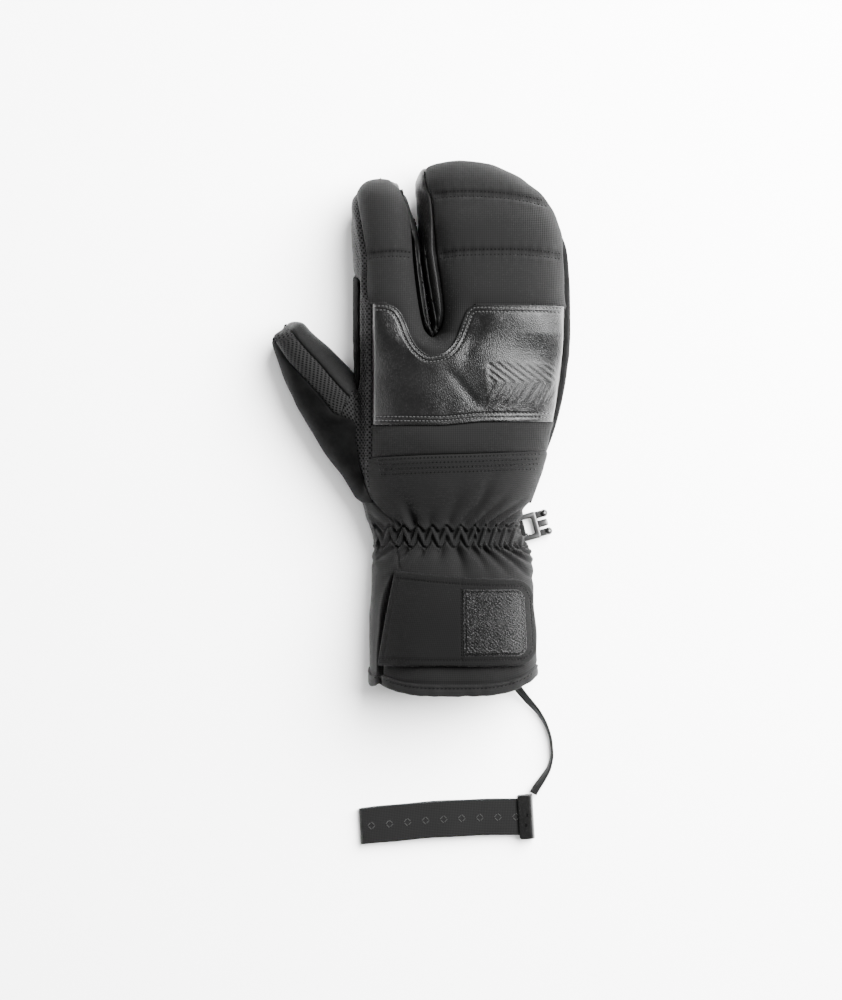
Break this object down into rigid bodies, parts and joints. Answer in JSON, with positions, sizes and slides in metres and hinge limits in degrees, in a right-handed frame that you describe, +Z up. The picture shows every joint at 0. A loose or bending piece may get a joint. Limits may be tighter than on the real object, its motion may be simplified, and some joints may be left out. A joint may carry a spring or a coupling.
{
  "type": "lobster claw mitt",
  "caption": "Padded snow mitt for the right hand, with a stall for the index finger, a shared stall for the other fingers, a gathered wrist, a strapped gauntlet and a wrist leash.",
  "frame": {"origin": "on the surface that the mitt lies on, under the middle of the mitt with its wrist loop laid out", "axes": "+Z up from the palm to the back of the hand, +Y towards the fingertips, +X towards the little finger"},
  "size_m": [0.1648, 0.3804, 0.05],
  "materials": {
    "shell_cloth": "charcoal softshell with a fine grid weave",
    "grain_leather": "black grained leather with a soft shine",
    "perforated_leather": "dark grey leather with small holes",
    "suede": "black suede",
    "binding_cloth": "black woven tape",
    "strap_cloth": "charcoal ribbed cloth",
    "grip_rubber": "black rubber with pebbles, soft shine",
    "clip_plastic": "glossy black",
    "webbing": "black elastic webbing"
  },
  "bodies": {
    "root": {"finger_back": "shell_cloth", "knuckle_panel": "grain_leather", "hand_back": "shell_cloth", "finger_fourchette": "grain_leather", "index_side": "perforated_leather", "thumb_back": "perforated_leather", "thumb_side": "grain_leather", "thumb_palm": "suede", "palm": "suede", "gauntlet": "shell_cloth", "cuff_binding": "binding_cloth", "wrist_strap": "strap_cloth", "strap_grip_pad": "grip_rubber", "glove_clip": "clip_plastic", "clip_tab": "binding_cloth", "leash_tape": "webbing", "wrist_band": "webbing", "band_keeper": "grain_leather"}
  },
  "joints": []
}
